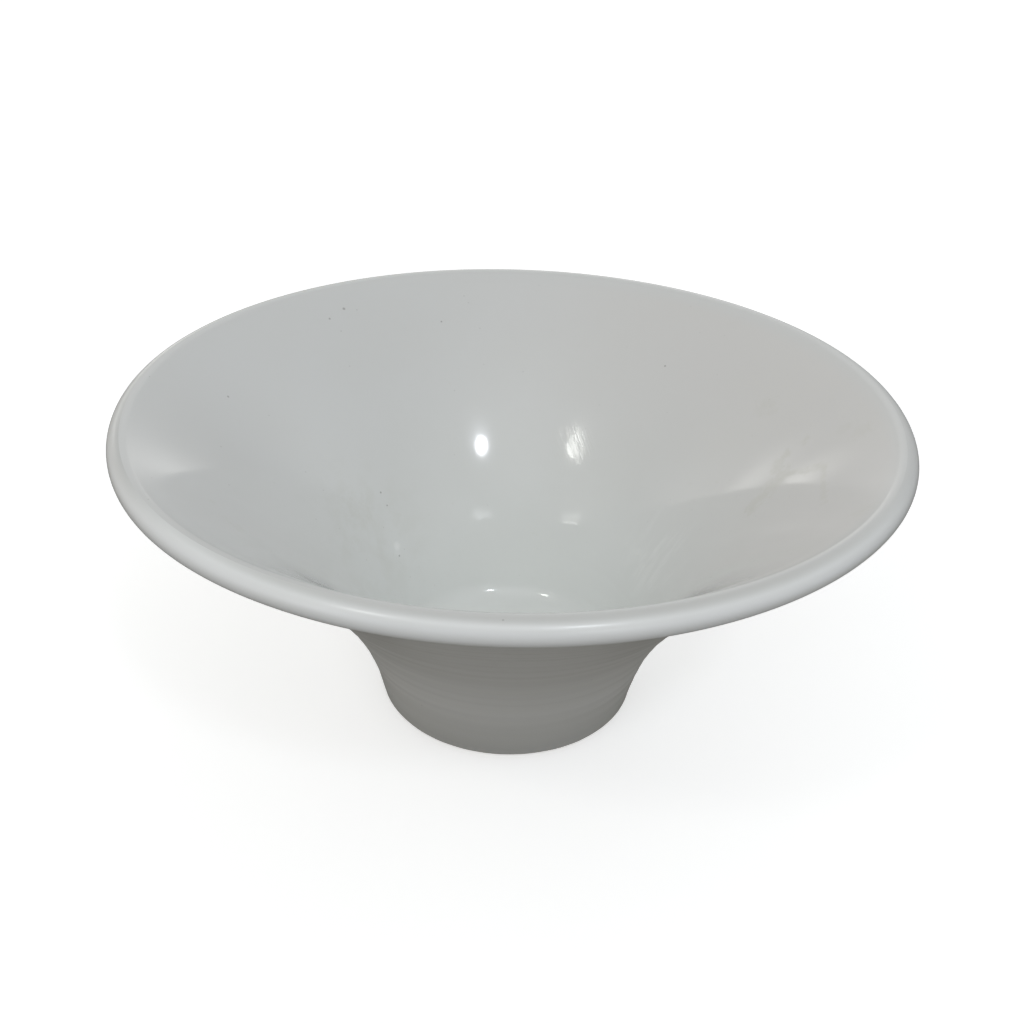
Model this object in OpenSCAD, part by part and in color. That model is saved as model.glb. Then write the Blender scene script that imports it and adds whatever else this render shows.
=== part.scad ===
// Lather bowl: a glazed ceramic bowl with a narrow well, a trumpet-flared wall
// and a low turned foot. Everything is turned about Z and stands on z = 0.
// Lengths are millimetres, angles are degrees. Slopes are measured up from
// horizontal, and a reach is how far a slope carries before the wall curves away.

/* [Rim] */
// Diameter over the lip
rim_d = 160; // [150:1:180]
// Height from the resting face to the top of the lip
bowl_h = 71.6; // [66:0.2:80]
// Thickness of the full-round lip
lip_t = 5.2; // [4:0.1:6]
// Slope of the wall at the lip
rim_slope = 38; // [34:1:44]

/* [Wall] */
// Diameter of the outside at the glaze line
foot_d = 57; // [54:0.2:60]
// Slope of the outside at the glaze line
foot_slope = 79; // [74:1:84]
// Reach of the foot's slope up the outside
foot_reach = 22; // [16:1:26]
// Reach of the rim's slope down the outside
outer_rim_reach = 47; // [40:1:50]
// Reach of the rim's slope down the inside
inner_rim_reach = 45; // [40:1:50]

/* [Well] */
// Height of the well's floor above the resting face
floor_h = 5.1; // [4.6:0.1:6]
// Inside diameter where the well's corner runs into the wall
well_d = 52; // [48:0.5:53]
// Radius of the corner between floor and wall
well_corner_r = 6; // [3:0.5:10]
// Slope of the inside where the corner ends
well_slope = 72; // [68:1:78]
// Reach of the well's slope up the inside
well_reach = 16; // [12:1:20]

/* [Foot] */
// Height of the unglazed band under the glaze line
bare_h = 0.6; // [0.4:0.1:1.5]
// Width of the foot ring, from the glaze line in to the recess
foot_ring_w = 5; // [4:0.1:7]
// Depth of the recess inside the foot ring
recess_h = 2; // [1.2:0.1:2.5]
// Slope of the recess's side
recess_slope = 55; // [45:1:75]

/* [Glaze] */
// Thickness of the glaze
glaze_t = 0.4; // [0.2:0.05:0.6]
// Bare clay left between the recess's side and the glaze under the base
base_glaze_margin = 1.2; // [0.5:0.1:3]

/* [Hidden] */

$fn = 180;
wall_steps = 36;
lip_steps = 8;
corner_steps = 8;

lip_r = lip_t / 2;
lip_centre = [rim_d / 2 - lip_r, bowl_h - lip_r];
lip_crown = 90;
glaze_line = [foot_d / 2, bare_h];
corner_centre = [well_d / 2 - well_corner_r * sin(well_slope), floor_h + well_corner_r];
wall_start = corner_centre + well_corner_r * heading(well_slope - 90);
recess_mouth_r = foot_d / 2 - foot_ring_w;
recess_top_r = recess_mouth_r - recess_h / tan(recess_slope);
base_glaze_r = recess_top_r - base_glaze_margin;

clay_colour = [0.87, 0.85, 0.81];
glaze_colour = [0.90, 0.92, 0.90];
base_colour = [0.86, 0.88, 0.86];

// Unit vector at an angle
function heading(a) = [cos(a), sin(a)];

// The points of a list, last one first
function backwards(points) = [for (i = [len(points) - 1 : -1 : 0]) points[i]];

// Points on an arc, from angle a to angle b
function arc(centre, r, a, b, steps) =
    [for (i = [0 : steps]) centre + r * heading(a + (b - a) * i / steps)];

// Place and direction of travel at u on a cubic curve through the corners p
function curve_at(p, u) =
    pow(1 - u, 3) * p[0] + 3 * pow(1 - u, 2) * u * p[1] + 3 * (1 - u) * u * u * p[2] + u * u * u * p[3];
function curve_way(p, u) =
    pow(1 - u, 2) * (p[1] - p[0]) + 2 * (1 - u) * u * (p[2] - p[1]) + u * u * (p[3] - p[2]);

// Points between the ends of a flared wall, each moved d to the left of its way up.
// The wall leaves its low end at one slope and meets the lip at the rim's slope.
function flare(low, low_slope, low_reach, high, high_reach, d) =
    let (p = [low, low + low_reach * heading(low_slope), high - high_reach * heading(rim_slope), high])
    [for (i = [1 : wall_steps - 1])
        let (u = i / wall_steps, way = curve_way(p, u))
        curve_at(p, u) + d * [-way.y, way.x] / norm(way)];

// The outside from the glaze line to the crown of the lip, d under the surface
function outer_face(d) = concat(
    [glaze_line + d * heading(foot_slope + 90)],
    flare(glaze_line, foot_slope, foot_reach,
          lip_centre + lip_r * heading(rim_slope - 90), outer_rim_reach, d),
    arc(lip_centre, lip_r - d, rim_slope - 90, lip_crown, lip_steps));

// The inside from the middle of the floor to the crown of the lip, d under the surface
function inner_face(d) = concat(
    [[0, floor_h - d]],
    arc(corner_centre, well_corner_r + d, -90, well_slope - 90, corner_steps),
    flare(wall_start, well_slope, well_reach,
          lip_centre + lip_r * heading(rim_slope + 90), inner_rim_reach, -d),
    arc(lip_centre, lip_r - d, rim_slope + 90, lip_crown, lip_steps));

// The foot from the middle of the recess, out over the resting face and up
// round the edge to the clay's glaze line
function foot_face() =
    let (edge_top = outer_face(glaze_t)[0],
         edge_r = edge_top.y / (1 - cos(foot_slope)),
         edge_centre = [edge_top.x - edge_r * sin(foot_slope), edge_r])
    concat(
        [[0, recess_h], [recess_top_r, recess_h], [recess_mouth_r, 0]],
        arc(edge_centre, edge_r, -90, foot_slope - 90, corner_steps));

// A coat of glaze: the ring between a face and the same face glaze_t under it
module coat(face, under) {
    rotate_extrude() polygon(concat(face, backwards(under)));
}

// The fired clay: floor, wall, lip and foot, all thrown and turned from one piece
module clay_body() {
    outside = outer_face(glaze_t);
    above_glaze_line = [for (i = [1 : len(outside) - 1]) outside[i]];
    inside = inner_face(glaze_t);
    below_crown = [for (i = [len(inside) - 2 : -1 : 0]) inside[i]];
    color(clay_colour) rotate_extrude()
        polygon(concat(foot_face(), above_glaze_line, below_crown));
}

// The glaze poured over the floor and the inside wall, up to the crown of the lip
module inner_glaze() {
    color(glaze_colour) coat(inner_face(0), inner_face(glaze_t));
}

// The glaze on the outside, from the crown of the lip down to the glaze line
module outer_glaze() {
    color(glaze_colour) coat(outer_face(0), outer_face(glaze_t));
}

// The patch of glaze under the base, inside the foot ring
module base_glaze() {
    color(base_colour) translate([0, 0, recess_h - glaze_t])
        cylinder(h = glaze_t, r1 = base_glaze_r - glaze_t, r2 = base_glaze_r);
}

clay_body();
inner_glaze();
outer_glaze();
base_glaze();
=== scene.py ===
"""A white-glazed lather bowl: a trumpet-flared wall on a narrow turned foot.

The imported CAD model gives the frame. Its glaze and clay are replaced here by finer
turned meshes with throwing rings, an uneven glaze edge and a hand-made warp.
Outlines are in millimetres, as a potter would draw them, and meshes are in metres.
"""

import math

import bpy
from mathutils import Matrix, Vector, noise


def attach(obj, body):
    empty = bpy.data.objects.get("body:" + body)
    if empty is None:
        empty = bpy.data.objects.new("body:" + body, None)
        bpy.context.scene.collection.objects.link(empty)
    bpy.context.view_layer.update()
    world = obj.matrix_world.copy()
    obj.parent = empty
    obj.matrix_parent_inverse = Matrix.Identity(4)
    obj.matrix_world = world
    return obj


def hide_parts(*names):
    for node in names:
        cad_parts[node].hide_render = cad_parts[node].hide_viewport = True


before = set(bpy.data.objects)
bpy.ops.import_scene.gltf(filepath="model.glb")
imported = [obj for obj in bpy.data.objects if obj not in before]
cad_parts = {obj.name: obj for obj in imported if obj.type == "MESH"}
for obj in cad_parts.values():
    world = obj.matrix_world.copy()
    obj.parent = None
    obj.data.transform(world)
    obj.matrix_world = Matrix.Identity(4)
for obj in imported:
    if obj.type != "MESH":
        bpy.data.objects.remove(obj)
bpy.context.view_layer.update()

MM = 0.001

# ---------------------------------------------------------------- outline, as in the CAD
RIM_D, BOWL_H, LIP_T, RIM_SLOPE = 160, 71.6, 5.2, 38
FOOT_D, FOOT_SLOPE, FOOT_REACH, OUTER_RIM_REACH = 57, 79, 22, 47
FLOOR_H, WELL_D, WELL_CORNER_R = 5.1, 52, 6
WELL_SLOPE, WELL_REACH, INNER_RIM_REACH = 72, 16, 45
BARE_H, FOOT_RING_W, RECESS_H, RECESS_SLOPE = 0.6, 5, 2, 55
GLAZE_T, BASE_GLAZE_MARGIN = 0.4, 1.2

SEGMENTS = 288
SHOWN_STEPS = 96
HIDDEN_STEPS = 16
LIP_STEPS = 20
CORNER_STEPS = 20
FLAT_STEP = 1.0
CROWN = 90
CROWN_GUARD = 0.6


def heading(degrees):
    """Unit vector at an angle up from horizontal, outwards."""
    a = math.radians(degrees)
    return Vector((math.cos(a), math.sin(a)))


def arc(centre, r, a, b, steps):
    """Points on an arc from angle a to angle b, in degrees."""
    return [centre + r * heading(a + (b - a) * i / steps) for i in range(steps + 1)]


def straight(start, end):
    """Points along a straight run, without its end."""
    steps = max(1, round((end - start).length / FLAT_STEP))
    return [start.lerp(end, i / steps) for i in range(steps)]


def flare(low, low_slope, low_reach, high, high_reach, d, steps):
    """Points between the ends of the flared wall, each moved d to the left of its way up."""
    p = [low, low + low_reach * heading(low_slope), high - high_reach * heading(RIM_SLOPE), high]
    points = []
    for i in range(1, steps):
        u = i / steps
        v = 1 - u
        at = v**3 * p[0] + 3 * v * v * u * p[1] + 3 * v * u * u * p[2] + u**3 * p[3]
        way = v * v * (p[1] - p[0]) + 2 * v * u * (p[2] - p[1]) + u * u * (p[3] - p[2])
        way.normalize()
        points.append(at + d * Vector((-way.y, way.x)))
    return points


LIP_R = LIP_T / 2
LIP_CENTRE = Vector((RIM_D / 2 - LIP_R, BOWL_H - LIP_R))
OUTER_LIP_START = LIP_CENTRE + LIP_R * heading(RIM_SLOPE - 90)
INNER_LIP_START = LIP_CENTRE + LIP_R * heading(RIM_SLOPE + 90)
GLAZE_LINE = Vector((FOOT_D / 2, BARE_H))
CORNER_CENTRE = Vector((WELL_D / 2 - WELL_CORNER_R * heading(WELL_SLOPE).y, FLOOR_H + WELL_CORNER_R))
WALL_START = CORNER_CENTRE + WELL_CORNER_R * heading(WELL_SLOPE - 90)
RECESS_MOUTH_R = FOOT_D / 2 - FOOT_RING_W
RECESS_TOP_R = RECESS_MOUTH_R - RECESS_H / math.tan(math.radians(RECESS_SLOPE))


def lip(start, d):
    """The lip from one side up to its crown; a short last step keeps its shading true."""
    r = LIP_R - d
    near_crown = CROWN + math.copysign(CROWN_GUARD, start - CROWN)
    return arc(LIP_CENTRE, r, start, near_crown, LIP_STEPS) + [LIP_CENTRE + r * heading(CROWN)]


def outer_face(d, steps):
    """The outside from the glaze line to the crown of the lip, d under the surface."""
    wall = flare(GLAZE_LINE, FOOT_SLOPE, FOOT_REACH, OUTER_LIP_START, OUTER_RIM_REACH, d, steps)
    return [GLAZE_LINE + d * heading(FOOT_SLOPE + 90)] + wall + lip(RIM_SLOPE - 90, d)


def inner_face(d, steps):
    """The inside from the middle of the floor to the crown of the lip, d under the surface."""
    floor_edge = Vector((CORNER_CENTRE.x, FLOOR_H - d))
    corner = arc(CORNER_CENTRE, WELL_CORNER_R + d, -90, WELL_SLOPE - 90, CORNER_STEPS)
    wall = flare(WALL_START, WELL_SLOPE, WELL_REACH, INNER_LIP_START, INNER_RIM_REACH, -d, steps)
    return straight(Vector((0, FLOOR_H - d)), floor_edge) + corner + wall + lip(RIM_SLOPE + 90, d)


def foot_face():
    """The clay from the middle of the recess, over the foot ring, up to the glaze."""
    edge_top = GLAZE_LINE + GLAZE_T * heading(FOOT_SLOPE + 90)
    edge_r = edge_top.y / (1 - heading(FOOT_SLOPE).x)
    edge_centre = Vector((edge_top.x - edge_r * heading(FOOT_SLOPE).y, edge_r))
    middle, top = Vector((0, RECESS_H)), Vector((RECESS_TOP_R, RECESS_H))
    mouth, ring = Vector((RECESS_MOUTH_R, 0)), Vector((edge_centre.x, 0))
    return soften([middle, top, mouth, ring], 0.8) + arc(edge_centre, edge_r, -90, FOOT_SLOPE - 90, 8)


def soften(corners, reach):
    """A run through corners, without its end, with each inner corner eased over a short reach."""
    points = []
    start = corners[0]
    for before, corner, after in zip(corners, corners[1:], corners[2:]):
        enter = corner + reach * (before - corner).normalized()
        leave = corner + reach * (after - corner).normalized()
        points += straight(start, enter)
        points += [enter.lerp(corner, u).lerp(corner.lerp(leave, u), u) for u in (0, 0.25, 0.5, 0.75)]
        start = leave
    return points + straight(start, corners[-1])


# ---------------------------------------------------------------- turned meshes
def around(azimuth, per_turn, along):
    """A point in noise space that joins up with itself round the bowl."""
    return Vector((per_turn * math.cos(azimuth), per_turn * math.sin(azimuth), along))


def fade(x, start, end):
    """0 at start, 1 at end, with a smooth way between."""
    t = min(1.0, max(0.0, (x - start) / (end - start)))
    return t * t * (3 - 2 * t)


# Where the rim drooped in the kiln: azimuth, depth. It starts to droop at one radius and is full at another
SAGS = ((208, 0.85), (-14, 0.6))
SAG_TIGHTNESS = 8
SAG_FROM, SAG_TO = 57, 79


def warp(p):
    """The bowl's own slight oval and wave, from drying and firing, growing towards the rim."""
    azimuth = math.atan2(p.y, p.x)
    grow = (p.z / BOWL_H) ** 2
    wider = grow * (0.18 * math.cos(2 * azimuth - 0.9) + 0.08 * math.cos(3 * azimuth + 1.1))
    higher = grow * 0.12 * math.cos(2 * azimuth + 0.6)
    for at, depth in SAGS:
        near = math.exp(SAG_TIGHTNESS * (math.cos(azimuth - math.radians(at)) - 1))
        higher -= depth * near * fade(math.hypot(p.x, p.y), SAG_FROM, SAG_TO)
    return p + Vector((wider * math.cos(azimuth), wider * math.sin(azimuth), higher))


def thrown_rings(q, out, azimuth):
    """Outside: almost level finger rings, and a glaze edge that wanders a little."""
    rings = 0.12 * noise.noise(around(azimuth, 0.25, q.y * 0.42))
    rings += 0.05 * noise.noise(around(azimuth, 0.3, q.y * 1.1 + 5))
    rings += 0.02 * noise.noise(around(azimuth, 2.0, q.y * 0.05))
    below_lip = fade(q.y, BOWL_H - LIP_T, BOWL_H - LIP_T - 6)
    at_edge = fade(q.y, 3, BARE_H)
    wander = 0.16 * noise.noise(around(azimuth, 3.0, 7.0)) + 0.05 * noise.noise(around(azimuth, 9.0, 3.0))
    return q + out * below_lip * rings + Vector((0, at_edge * wander))


TOOL_RING_H, TOOL_RING_W, TOOL_RING_DEPTH = 16.6, 0.9, 0.06
FLOOR_RING_R = 14.5


def poured_glaze(q, out, azimuth):
    """Inside: the glaze's slow swell and sag, and one ring left by the throwing rib above the well."""
    swell = 0.035 * noise.noise(around(azimuth, 1.3, q.y * 0.06))
    swell += 0.007 * noise.noise(around(azimuth, 0.6, q.y * 0.35))
    ring = math.exp(-(((q.y - TOOL_RING_H) / TOOL_RING_W) ** 2))
    swell -= TOOL_RING_DEPTH * ring * (0.6 + 0.8 * noise.noise(around(azimuth, 0.8, 2.0)))
    swell -= 0.04 * math.exp(-(((q.x - FLOOR_RING_R) / 1.5) ** 2)) * fade(q.y, FLOOR_H + 1, FLOOR_H)
    return q + out * swell * fade(q.x, 1, 6) * fade(q.y, BOWL_H, BOWL_H - 4)


def turned_foot(q, out, azimuth):
    """Underneath: fine rings from the trimming tool."""
    rings = 0.03 * noise.noise(around(azimuth, 0.2, (q.x - q.y) * 1.6))
    rings += 0.015 * noise.noise(around(azimuth, 4, q.x * 0.5))
    return q + out * rings * fade(q.y, BARE_H, 0.2 * BARE_H) if q.x > RECESS_MOUTH_R else q + out * rings


def turn(name, outline, relief=None, shown=(), ring=False):
    """A mesh turned about Z from an outline of (radius, height) points in millimetres.

    relief moves the points whose numbers are in shown; ring says that the outline closes on itself.
    """
    verts, rows = [], []
    n = len(outline)
    for i, q in enumerate(outline):
        if q.x < MM:
            rows.append([len(verts)])
            verts.append(warp(Vector((0, 0, q.y))) * MM)
            continue
        before, after = outline[max(i - 1, 0)], outline[min(i + 1, n - 1)]
        way = (after - before).normalized()
        out = Vector((way.y, -way.x))
        rows.append(list(range(len(verts), len(verts) + SEGMENTS)))
        for k in range(SEGMENTS):
            a = 2 * math.pi * k / SEGMENTS
            at = relief(q, out, a) if i in shown else q
            verts.append(warp(Vector((at.x * math.cos(a), at.x * math.sin(a), at.y))) * MM)
    faces = []
    for low, high in zip(rows, rows[1:] + rows[:1] if ring else rows[1:]):
        for k in range(SEGMENTS):
            j = (k + 1) % SEGMENTS
            if len(low) == 1:
                faces.append((low[0], high[j], high[k]))
            elif len(high) == 1:
                faces.append((low[k], low[j], high[0]))
            else:
                faces.append((low[k], low[j], high[j], high[k]))
    mesh = bpy.data.meshes.new(name)
    mesh.from_pydata(verts, [], faces)
    mesh.shade_smooth()
    mesh.set_sharp_from_angle(angle=math.radians(40))
    mesh.update()
    piece = bpy.data.objects.new(name, mesh)
    bpy.context.scene.collection.objects.link(piece)
    return piece


def outer_coat():
    """The outside's glaze, with a rounded lower edge where it stops short of the table."""
    face, under = outer_face(0, SHOWN_STEPS), outer_face(GLAZE_T, HIDDEN_STEPS)
    edge = arc(under[0] + GLAZE_T * heading(FOOT_SLOPE), GLAZE_T, FOOT_SLOPE - 180, FOOT_SLOPE - 90, 5)
    outline = edge + face[2:] + under[:0:-1]
    return turn("outer_glaze_coat", outline, thrown_rings, range(len(edge) + len(face) - 2), ring=True)


def inner_coat():
    """The inside's glaze, which meets the outside's at the crown of the lip."""
    face, under = inner_face(0, SHOWN_STEPS), inner_face(GLAZE_T, HIDDEN_STEPS)
    outline = under + face[::-1]
    return turn("inner_glaze_coat", outline, poured_glaze, range(len(under), len(outline)))


def clay_body():
    """The fired clay between the glazes, bare on the foot ring and round the recess."""
    foot = foot_face()
    outside, inside = outer_face(GLAZE_T, HIDDEN_STEPS), inner_face(GLAZE_T, HIDDEN_STEPS)
    return turn("turned_clay_body", foot + outside[1:] + inside[-2::-1], turned_foot, range(len(foot)))


def base_patch():
    """The disc of glaze inside the recess, thin at its edge."""
    shoulder = RECESS_TOP_R - BASE_GLAZE_MARGIN - 2 * GLAZE_T
    flat = straight(Vector((0, RECESS_H - GLAZE_T)), Vector((shoulder, RECESS_H - GLAZE_T)))
    edge = []
    for u in (0, 0.4, 0.7, 0.9, 1):
        edge.append(Vector((shoulder + 2 * GLAZE_T * u, RECESS_H - GLAZE_T * math.sqrt(1 - u * u))))
    outline = flat + edge + [Vector((0, RECESS_H))]
    return turn("base_glaze_patch", outline, puddled, range(len(outline) - 2))


def puddled(q, out, azimuth):
    """Underneath: glaze left a little thick and thin by the brush."""
    return q + out * 0.05 * noise.noise(around(azimuth, q.x * 0.25, 1.0)) * fade(q.x, 0, 2)


outer_glaze = outer_coat()
inner_glaze = inner_coat()
clay = clay_body()
base_glaze = base_patch()

for piece, node, slot in (
    (clay, "clay_body", "fired_clay"),
    (inner_glaze, "inner_glaze", "inner_glaze"),
    (outer_glaze, "outer_glaze", "outer_glaze"),
    (base_glaze, "base_glaze", "base_glaze"),
):
    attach(piece, "root")
    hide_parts(node)


# ---------------------------------------------------------------- materials
class Graph:
    """A material's nodes. Lengths in it are millimetres, and each call returns an output."""

    def __init__(self, name):
        self.material = bpy.data.materials.new(name)
        self.material.use_nodes = True
        self.tree = self.material.node_tree
        self.shader = self.tree.nodes["Principled BSDF"]
        place = self.node("TexCoord", {}, "Object")
        self.point = self.node("VectorMath", {0: place, "Scale": 1 / MM}, "Vector", operation="SCALE")
        self.x, self.y, self.z = (self.node("SeparateXYZ", {0: self.point}, axis) for axis in "XYZ")
        self.r = self.sqrt_sum(self.x, self.y)

    def node(self, kind, inputs, output, **settings):
        n = self.tree.nodes.new("ShaderNode" + kind)
        for key, value in settings.items():
            setattr(n, key, value)
        for key, value in inputs.items():
            self.plug(value, n.inputs[key])
        return n.outputs[output]

    def plug(self, value, socket):
        if isinstance(value, bpy.types.NodeSocket):
            self.tree.links.new(value, socket)
        else:
            socket.default_value = value

    def maths(self, operation, a, b=0.0, c=0.0, clamp=False):
        return self.node("Math", {0: a, 1: b, 2: c}, 0, operation=operation, use_clamp=clamp)

    def sqrt_sum(self, a, b):
        flat = self.node("CombineXYZ", {0: a, 1: b}, 0)
        return self.node("VectorMath", {0: flat}, "Value", operation="LENGTH")

    def turned(self, per_turn, along):
        """Coordinates that wrap round the bowl: per_turn round its axis, along up its wall."""
        scale = self.maths("DIVIDE", per_turn, self.maths("MAXIMUM", self.r, 0.1))
        u, v = self.maths("MULTIPLY", self.x, scale), self.maths("MULTIPLY", self.y, scale)
        return self.node("CombineXYZ", {0: u, 1: v, 2: along}, 0)

    def noise(self, at, size, detail=2.0, roughness=0.5):
        """Noise from 0 to 1 with features of about this size."""
        inputs = {"Vector": at, "Scale": 1 / size, "Detail": detail, "Roughness": roughness}
        return self.node("TexNoise", inputs, "Fac")

    def span(self, value, low, high, to_low=0.0, to_high=1.0):
        """A smooth step of value from low to high."""
        inputs = {"Value": value, "From Min": low, "From Max": high, "To Min": to_low, "To Max": to_high}
        return self.node("MapRange", inputs, 0, interpolation_type="SMOOTHSTEP")

    def spots(self, size, radius):
        """1 in small balls scattered in space, which cut the surface as round spots."""
        at = self.node("VectorMath", {0: self.point, "Scale": 1 / size}, 0, operation="SCALE")
        distance = self.node("TexVoronoi", {"Vector": at, "Scale": 1.0}, "Distance")
        return self.span(distance, radius / size, 0.6 * radius / size)

    def blot(self, place, radius, soft=0.5):
        """1 within a radius of a place, soft towards its edge."""
        distance = self.node("VectorMath", {0: self.point, 1: place}, "Value", operation="DISTANCE")
        return self.span(distance, radius * (1 + soft), radius * (1 - soft))

    def stroke(self, start, end, radius, soft=0.5):
        """1 within a radius of the line between two places, soft towards its edge."""
        way = end - start
        scaled_way = way / way.length_squared
        offset = self.node("VectorMath", {0: self.point, 1: start}, 0, operation="SUBTRACT")
        along = self.node("VectorMath", {0: offset, 1: scaled_way}, "Value", operation="DOT_PRODUCT")
        along = self.maths("MAXIMUM", along, 0.0, clamp=True)
        nearest = self.node("VectorMath", {0: way, "Scale": along}, 0, operation="SCALE")
        distance = self.node("VectorMath", {0: offset, 1: nearest}, "Value", operation="DISTANCE")
        return self.span(distance, radius * (1 + soft), radius * (1 - soft))

    def most(self, values):
        total = values[0]
        for value in values[1:]:
            total = self.maths("MAXIMUM", total, value)
        return total

    def mix(self, factor, a, b):
        """Colour a where factor is 0, and b where it is 1."""
        names = {"Factor": 0, "A": 6, "B": 7}
        inputs = {names["Factor"]: factor, names["A"]: self.rgba(a), names["B"]: self.rgba(b)}
        return self.node("Mix", inputs, 2, data_type="RGBA")

    def rgba(self, colour):
        return colour if isinstance(colour, bpy.types.NodeSocket) else (*colour, 1)

    def bump(self, height):
        return self.node("Bump", {"Height": height, "Distance": MM, "Strength": 1.0}, "Normal")

    def finish(self, colour, roughness, height):
        self.plug(colour, self.shader.inputs["Base Color"])
        self.plug(roughness, self.shader.inputs["Roughness"])
        self.plug(self.bump(height), self.shader.inputs["Normal"])
        return self.material


INNER_WALL = [q for q in inner_face(0, SHOWN_STEPS) if q.x > CORNER_CENTRE.x]


def on_wall(bearing, height):
    """The place on the inside at a height; bearing is in degrees from the front, round to the right."""
    low, high = next((a, b) for a, b in zip(INNER_WALL, INNER_WALL[1:]) if a.y <= height < b.y)
    r = low.lerp(high, (height - low.y) / (high.y - low.y)).x
    a = math.radians(bearing)
    return Vector((r * math.sin(a), -r * math.cos(a), height))


# The white glaze where it lies thick and where it runs thin up the wall, and colours for painted light and
# shade on the lip, its crown and the foot
THICK_WHITE = (0.843, 0.862, 0.848)
THIN_WHITE = (0.683, 0.689, 0.686)
WARM_WHITE = (0.688, 0.681, 0.670)
OUTER_WHITE = (0.758, 0.760, 0.748)
# Painted shade: the outside darker towards the foot and the table
FOOT_SHADE_WHITE = (0.515, 0.517, 0.502)
# Painted shade along the crown of the lip, darkest at the front
CROWN_SHADE_WHITE = (0.680, 0.685, 0.680)
FRONT_CROWN_SHADE = (0.620, 0.625, 0.620)
# Painted light and shade on the lip: lighter at the front, darker at the sides
LIT_LIP_FRONT_WHITE = (0.895, 0.910, 0.918)
SHADED_LIP_SIDE_WHITE = (0.595, 0.600, 0.596)
IRON = (0.10, 0.095, 0.085)
SOAP = (0.56, 0.56, 0.48)
# Lighter white for the lather haze and for a painted glint
HAZE_AND_GLINT_WHITE = (0.90, 0.91, 0.90)
LIP_FROM, LIP_TO = BOWL_H - 5.5, BOWL_H - 4.4

# Larger iron specks: bearing, height on the inside, radius
SPECKS = (
    (-143, 67.3, 0.36),
    (-139, 66.2, 0.28),
    (-127, 34.6, 0.24),
    (-127, 31.8, 0.20),
    (-104, 62.0, 0.26),
    (143, 58.3, 0.24),
    (-163, 62.5, 0.22),
    (60, 44.0, 0.22),
    (-122, 21.5, 0.25),
)
# Dried lather, a broken ring and its drips, as strokes: bearing and height of both ends, radius
LATHER = (
    (95.9, 60.3, 95.7, 60.1, 1.3),
    (96.1, 56.9, 94.8, 54.9, 1.6),
    (94.8, 54.9, 90.6, 55.0, 2.2),
    (90.6, 55.0, 88.3, 51.8, 2.9),
    (88.3, 51.8, 86.0, 48.8, 2.6),
    (89.0, 55.9, 84.2, 61.1, 1.3),
    (84.2, 61.1, 80.0, 60.6, 0.9),
    (80.0, 60.6, 69.5, 61.3, 0.9),
)
# Faint old water marks: bearing, height, radius
WATER_MARKS = (
    (113, 59.5, 3.0),
    (88, 67.0, 2.6),
    (92, 65.4, 1.8),
    (59, 69.0, 3.0),
    (-65, 60.1, 1.2),
    (-58, 58.0, 3.0),
    (-112, 34.0, 5.0),
)
WIPED = on_wall(104, 27)
CLOUDED = on_wall(-112, 30)
WORN = on_wall(160, 40.2)
# A painted glint: a lighter spot where a glaze pimple catches the light
PAINTED_PIMPLE_GLINT = on_wall(-123, 23.6)


def crown_shade(g):
    """Painted shade along the crown of the lip, darkest at the front."""
    return g.mix(g.span(g.y, -22, -66), CROWN_SHADE_WHITE, FRONT_CROWN_SHADE)


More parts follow.
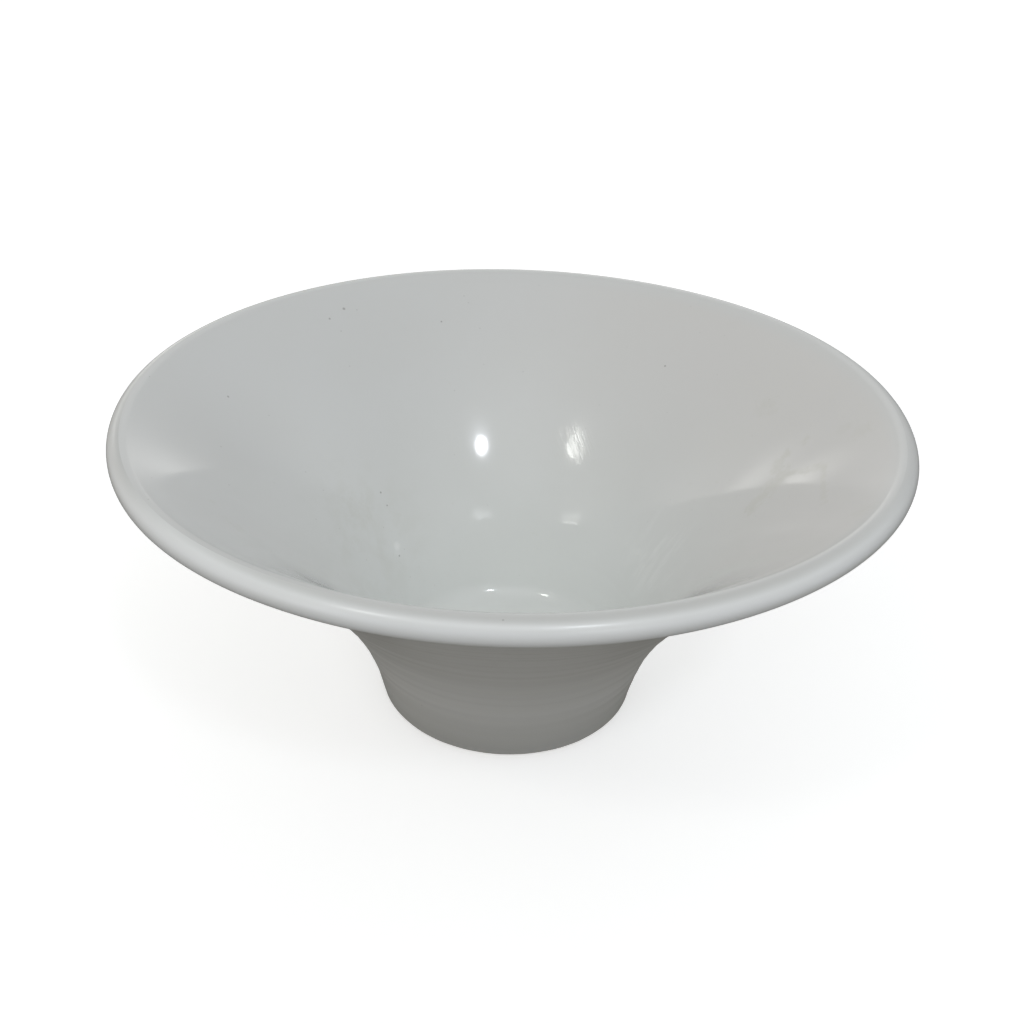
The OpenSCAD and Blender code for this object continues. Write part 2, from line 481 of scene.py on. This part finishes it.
def inside_glaze():
    """Glossy white glaze: whitest where it pooled, with iron specks, lather marks and wear, painted shade
    along the crown of the lip and one painted glint.
    """
    g = Graph("glaze_inside")
    cloud = g.noise(g.point, 26)
    thin = g.mix(g.span(g.x, -30, 60), THIN_WHITE, WARM_WHITE)
    body = g.mix(g.span(g.z, 0, BOWL_H - 5), THICK_WHITE, thin)
    body = g.mix(g.maths("MULTIPLY", g.span(cloud, 0.35, 0.68), 0.04), body, SOAP)
    # painted shade along the crown of the lip
    body = g.mix(g.span(g.z, BOWL_H - 3, BOWL_H - 0.3), body, crown_shade(g))
    floor_middle = g.maths("MULTIPLY", g.span(g.r, FLOOR_RING_R + 1, FLOOR_RING_R - 2), g.span(g.z, 8, 6))
    body = g.mix(g.maths("MULTIPLY", floor_middle, 0.06), body, SOAP)

    # wiped lather haze drawn out up the wall on the right, a duller cloud on the left, the
    # brush's wear on the far wall, and a painted glint, a lighter spot where one glaze pimple catches the
    # light
    streaks = g.noise(g.turned(11, g.maths("MULTIPLY", g.z, 0.1)), 1, 3, 0.6)
    haze = g.maths("MULTIPLY", g.span(streaks, 0.5, 0.72), g.blot(WIPED, 10, 0.7))
    body = g.mix(g.maths("MULTIPLY", haze, 0.35), body, HAZE_AND_GLINT_WHITE)
    dull = g.maths("MULTIPLY", g.span(g.noise(g.point, 5, 3), 0.4, 0.7), g.blot(CLOUDED, 15, 0.7))
    body = g.mix(g.maths("MULTIPLY", dull, 0.14), body, SOAP)
    worn = worn_lines(g)
    body = g.mix(g.maths("MULTIPLY", worn, 0.10), body, SOAP)
    # painted glint: a lighter spot for a glaze pimple catching the light
    body = g.mix(g.maths("MULTIPLY", g.blot(PAINTED_PIMPLE_GLINT, 0.9, 0.6), 0.7), body, HAZE_AND_GLINT_WHITE)

    # dried lather and water marks, both with ragged edges
    ragged = g.maths("MULTIPLY_ADD", g.noise(g.point, 1.6, 4, 0.65), 2.6, -1.3)
    drips = [g.stroke(on_wall(a, b), on_wall(c, d), radius, 0.8) for a, b, c, d, radius in LATHER]
    lather = g.span(g.maths("ADD", g.most(drips), ragged), 0.3, 1.3)
    water = g.most([g.blot(on_wall(*place), radius, 0.8) for *place, radius in WATER_MARKS])
    water = g.span(g.maths("ADD", water, ragged), 0.2, 1.4)
    body = g.mix(g.maths("MULTIPLY", lather, 0.24), body, SOAP)
    body = g.mix(g.maths("MULTIPLY", water, 0.14), body, SOAP)

    # specks of iron, thicker up the left of the bowl
    patchy = g.maths("MULTIPLY", g.span(g.x, 25, -45, 0.35, 1.0), g.span(g.z, 12, 45, 0.5, 1.0))
    fine = g.maths("MULTIPLY", g.spots(4.4, 0.22), patchy)
    large = g.most([g.blot(on_wall(*place), radius, 0.4) for *place, radius in SPECKS])
    specks = g.maths("MAXIMUM", g.maths("MULTIPLY", fine, 0.22), g.maths("MULTIPLY", large, 0.42))
    colour = g.mix(specks, body, IRON)

    # a few stray scratches besides those where the brush has worn the far wall
    stray = g.maths("MULTIPLY", hairlines(g, 190, 0.35), g.span(g.z, 58, 48, 0.0, 0.15))
    scratch = g.maths("MAXIMUM", worn, stray)

    # every roughness here stays under 0.26, because the denoiser draws a line where a coat crosses 0.27
    rough = g.maths("MULTIPLY_ADD", g.noise(g.point, 9), 0.04, 0.05)
    rough = g.maths("MULTIPLY_ADD", g.span(g.z, BOWL_H - 8, BOWL_H - 1), 0.15, rough)
    rough = g.maths("MULTIPLY_ADD", haze, 0.04, rough)
    rough = g.maths("MULTIPLY_ADD", lather, 0.16, rough)
    rough = g.maths("MULTIPLY_ADD", scratch, 0.07, rough)
    rough = g.maths("MINIMUM", rough, 0.25)

    height = g.maths("MULTIPLY", g.noise(g.point, 3.2), 0.006)
    height = g.maths("MULTIPLY_ADD", g.noise(g.point, 0.7, 0), 0.0006, height)
    height = g.maths("MULTIPLY_ADD", stray, -0.0012, height)
    height = g.maths("MULTIPLY_ADD", worn, -0.011, height)
    height = g.maths("MULTIPLY_ADD", lather, 0.004, height)
    g.shader.inputs["IOR"].default_value = 1.5
    return g.finish(colour, rough, height)


def worn_lines(g):
    """Close parallel scratches, leaning a little from straight up the wall."""
    across = g.maths("MULTIPLY_ADD", g.z, 0.54, g.x)
    lines = g.node("CombineXYZ", {0: across, 1: g.maths("MULTIPLY", g.z, 0.05)}, 0)
    lines = g.span(g.noise(lines, 0.55, 2, 0.7), 0.47, 0.56)
    return g.maths("MULTIPLY", lines, g.blot(WORN, 4.5, 0.5))


def hairlines(g, per_turn, lean):
    """Thin broken scratches up the wall, from stretched noise; lean tilts them round the bowl."""
    flow = g.turned(per_turn, g.maths("MULTIPLY", g.z, 0.22))
    tilt = g.maths("MULTIPLY", g.z, lean)
    shift = g.node("CombineXYZ", {0: tilt, 1: g.maths("MULTIPLY", tilt, -1.0)}, 0)
    flow = g.node("VectorMath", {0: flow, 1: shift}, 0, operation="ADD")
    from_line = g.maths("ABSOLUTE", g.maths("SUBTRACT", g.noise(flow, 1.0, 0), 0.5))
    broken = g.span(g.noise(g.point, 7, 1), 0.5, 0.6)
    return g.maths("MULTIPLY", g.span(from_line, 0.03, 0.01), broken)


def outside_glaze(name, along):
    """Softly glossy white glaze, thinner over the throwing rings, with fine specks, painted shade towards
    the foot and along the crown, and painted light and shade on the lip.

    along picks the length that the rings follow.
    """
    g = Graph(name)
    across = along(g)
    bands = g.noise(g.turned(0.25, g.maths("MULTIPLY", across, 0.5)), 1, 2)
    cloud = g.noise(g.point, 30)
    # painted shade: the outside darker towards the foot
    body = g.mix(g.span(g.z, 0, 18), FOOT_SHADE_WHITE, OUTER_WHITE)
    # painted light and shade: the lip band lighter at the front and darker at the sides
    lip_light_and_shade = g.mix(g.span(g.y, -28, -68), SHADED_LIP_SIDE_WHITE, LIT_LIP_FRONT_WHITE)
    body = g.mix(g.span(g.z, LIP_FROM, LIP_TO), body, lip_light_and_shade)
    # painted shade along the crown of the lip
    body = g.mix(g.span(g.z, BOWL_H - 1.0, BOWL_H), body, crown_shade(g))
    body = g.mix(g.maths("MULTIPLY", g.span(bands, 0.35, 0.7), 0.10), body, SOAP)
    body = g.mix(g.maths("MULTIPLY", g.span(cloud, 0.35, 0.7), 0.05), body, SOAP)
    colour = g.mix(g.maths("MULTIPLY", g.spots(5.2, 0.22), 0.25), body, IRON)
    rough = g.maths("MULTIPLY_ADD", g.noise(g.point, 12), 0.05, 0.205)
    height = g.maths("MULTIPLY", g.noise(g.turned(0.25, g.maths("MULTIPLY", across, 1.9)), 1, 1), 0.010)
    height = g.maths("MULTIPLY_ADD", g.noise(g.point, 3.0, 1), 0.005, height)
    height = g.maths("MULTIPLY_ADD", g.noise(g.point, 0.45, 0), 0.0012, height)
    g.shader.inputs["IOR"].default_value = 1.5
    return g.finish(colour, rough, height)


def bare_clay():
    """Fired stoneware: warm off-white, gritty, with tool rings and a little table dirt on the ring."""
    g = Graph("bare_clay")
    grain = g.noise(g.point, 0.5, 3, 0.6)
    cloud = g.noise(g.point, 12, 2)
    body = g.mix(g.span(cloud, 0.35, 0.65), (0.70, 0.66, 0.59), (0.63, 0.59, 0.52))
    body = g.mix(g.maths("MULTIPLY", g.span(grain, 0.55, 0.75), 0.5), body, (0.52, 0.48, 0.42))
    dirt = g.maths("MULTIPLY", g.span(g.z, 0.35, 0.0), g.span(g.noise(g.point, 2.5, 3), 0.4, 0.7))
    body = g.mix(g.maths("MULTIPLY", dirt, 0.55), body, (0.36, 0.34, 0.31))
    colour = g.mix(g.maths("MULTIPLY", g.spots(1.6, 0.14), 0.7), body, (0.22, 0.17, 0.12))
    rings = g.noise(g.turned(0.3, g.maths("MULTIPLY", g.r, 2.4)), 1, 2)
    height = g.maths("MULTIPLY", rings, 0.03)
    height = g.maths("MULTIPLY_ADD", grain, 0.035, height)
    rough = g.maths("MULTIPLY_ADD", grain, 0.15, 0.75)
    return g.finish(colour, rough, height)


clay.data.materials.append(bare_clay())
inner_glaze.data.materials.append(inside_glaze())
outer_glaze.data.materials.append(outside_glaze("glaze_outside", lambda g: g.z))
base_glaze.data.materials.append(outside_glaze("glaze_base", lambda g: g.r))


# ---------------------------------------------------------------- stage, camera and light
def direction(bearing, elevation):
    """Unit vector; bearing is in degrees from the front, round to the right."""
    a, e = math.radians(bearing), math.radians(elevation)
    return Vector((math.sin(a) * math.cos(e), -math.cos(a) * math.cos(e), math.sin(e)))


def pale_floor():
    """A plain matt sheet, lifted towards white as a bright sweep is."""
    m = bpy.data.materials.new("pale_floor")
    m.use_nodes = True
    shader = m.node_tree.nodes["Principled BSDF"]
    shader.inputs["Base Color"].default_value = (0.8, 0.8, 0.8, 1)
    shader.inputs["Roughness"].default_value = 0.9
    shader.inputs["Emission Color"].default_value = (1, 1, 1, 1)
    shader.inputs["Emission Strength"].default_value = 0.5
    return m


bpy.ops.mesh.primitive_circle_add(vertices=96, radius=6, fill_type="NGON", location=(0, 0, 0))
floor = bpy.context.object
floor.name = "floor"
floor.data.materials.append(pale_floor())
floor.visible_diffuse = False
floor.visible_glossy = False
floor.visible_shadow = False

camera = bpy.data.objects.new("camera", bpy.data.cameras.new("camera"))
camera.data.sensor_width = 36
camera.data.lens = 42.2
camera.location = Vector((0.15, -223.1, 175.1)) * MM
CAMERA_DIP, CAMERA_ROLL = math.radians(30.43), math.radians(1.7)
look = Matrix.Rotation(math.pi / 2 - CAMERA_DIP, 3, "X") @ Matrix.Rotation(CAMERA_ROLL, 3, "Z")
camera.rotation_euler = look.to_euler()
bpy.context.scene.collection.objects.link(camera)
bpy.context.scene.camera = camera
bpy.context.scene.view_settings.view_transform = "Standard"

# The room's soft light as glows: bearing, elevation, tightness, strength, colour
GLOWS = (
    # from under the bowl, and low in front, where the lip shines but the near rim shades the inside
    (0, -90, 1, 0.180, (1.05, 1.02, 0.93)),
    (27, 10, 90, 2.0, (1.0, 1.0, 1.0)),
    (-48, 9, 90, 1.9, (1.0, 1.0, 1.0)),
    (50, -30, 4, 0.08, (1.0, 1.0, 1.0)),
    # from above, towards the front
    (0, 60, 3, 0.452, (0.99, 1.02, 0.99)),
    (0, 45, 5, 0.195, (1.0, 1.0, 1.0)),
    (0, 52, 16, 0.47, (0.97, 1.0, 1.03)),
    # round the room, low and then high
    (60, 8, 10, 0.57, (1.0, 1.0, 1.0)),
    (120, 8, 10, 0.74, (0.99, 1.0, 1.01)),
    (180, 8, 10, 0.56, (1.01, 1.0, 0.99)),
    (240, 8, 10, 1.18, (1.02, 1.0, 0.98)),
    (300, 8, 10, 0.72, (1.02, 1.0, 0.98)),
    (60, 40, 10, 0.22, (0.98, 1.0, 1.02)),
    (120, 40, 10, 0.60, (0.97, 1.01, 1.03)),
    (180, 40, 10, 0.76, (1.0, 1.01, 0.99)),
    (240, 40, 10, 0.22, (1.02, 1.0, 0.98)),
    (300, 40, 10, 0.30, (1.02, 1.0, 0.97)),
    # what shows as pale patches on the right wall and then on the left
    (216, 16, 180, 1.25, (1.0, 1.0, 0.96)),
    (203, 10, 220, 1.6, (1.0, 1.0, 0.96)),
    (174, 5, 75, 0.80, (1.0, 1.0, 0.97)),
    # haloes of the two lamps
    (24, 49.4, 250, 1.8, (0.92, 0.97, 1.08)),
    (24, 49.4, 500, 5.0, (0.95, 0.98, 1.06)),
    (-45, 48.5, 250, 1.2, (1.0, 1.0, 1.0)),
)

# Two low strip lamps, each a row of small glows: bearing of its middle, elevation, strength, colour
STRIPS = ((23.5, 25.4, 1.9, (0.97, 1.0, 1.02)), (-48, 24.4, 1.5, (0.98, 1.0, 0.98)))
STRIP_STEPS = (-6, -3.6, -1.2, 1.2, 3.6, 6)
STRIP_TIGHTNESS = 2600


def strip_glows():
    """The strip lamps as rows of glows."""
    return [
        (bearing + step, elevation, STRIP_TIGHTNESS, strength, colour)
        for bearing, elevation, strength, colour in STRIPS
        for step in STRIP_STEPS
    ]


def room_light():
    """The glows added up as light on the bowl, and a plain pale backdrop for the camera."""
    world = bpy.data.worlds.new("studio")
    bpy.context.scene.world = world
    world.use_nodes = True
    tree = world.node_tree
    tree.nodes.clear()

    def node(kind, operation=None, **inputs):
        n = tree.nodes.new("ShaderNode" + kind)
        if operation:
            n.operation = operation
        for key, value in inputs.items():
            socket = n.inputs[int(key[1:])]
            if isinstance(value, bpy.types.NodeSocket):
                tree.links.new(value, socket)
            else:
                socket.default_value = value
        return n

    way = node("TexCoord").outputs["Generated"]
    total = None
    for bearing, elevation, tightness, strength, colour in [*GLOWS, *strip_glows()]:
        towards = direction(bearing, elevation)
        facing = node("VectorMath", "DOT_PRODUCT", _0=way, _1=towards).outputs["Value"]
        facing = node("Math", "MAXIMUM", _0=facing, _1=0.0).outputs[0]
        glow = node("Math", "POWER", _0=facing, _1=float(tightness)).outputs[0]
        tinted = node("VectorMath", "SCALE", _0=strength * Vector(colour)).inputs["Scale"]
        tree.links.new(glow, tinted)
        tinted = tinted.node.outputs[0]
        total = node("VectorMath", "ADD", _0=total, _1=tinted).outputs[0] if total else tinted
    light = node("Background", _0=total, _1=1.0).outputs[0]
    backdrop = node("Background", _0=(1.0, 1.0, 1.0, 1), _1=1.0).outputs[0]
    seen = node("LightPath").outputs["Is Camera Ray"]
    both = node("MixShader", _0=seen, _1=light, _2=backdrop).outputs[0]
    tree.links.new(both, tree.nodes.new("ShaderNodeOutputWorld").inputs["Surface"])


def lamp(name, bearing, elevation, radius, radiance, colour):
    """A round studio lamp that shines at the bowl's middle."""
    distance = 1.4
    light = bpy.data.lights.new(name, "AREA")
    light.shape = "DISK"
    light.size = 2 * radius
    light.energy = radiance * math.pi * math.pi * radius**2
    light.color = colour
    lamp_object = bpy.data.objects.new(name, light)
    way = direction(bearing, elevation)
    lamp_object.location = Vector((0, 0, 0.05)) + distance * way
    lamp_object.rotation_euler = way.to_track_quat("Z", "Y").to_euler()
    bpy.context.scene.collection.objects.link(lamp_object)


room_light()
lamp("right_lamp", 24, 49.4, 0.075, 21.8, (0.96, 0.99, 1.05))
lamp("left_lamp", -45, 48.5, 0.095, 12.5, (1.0, 1.01, 0.97))
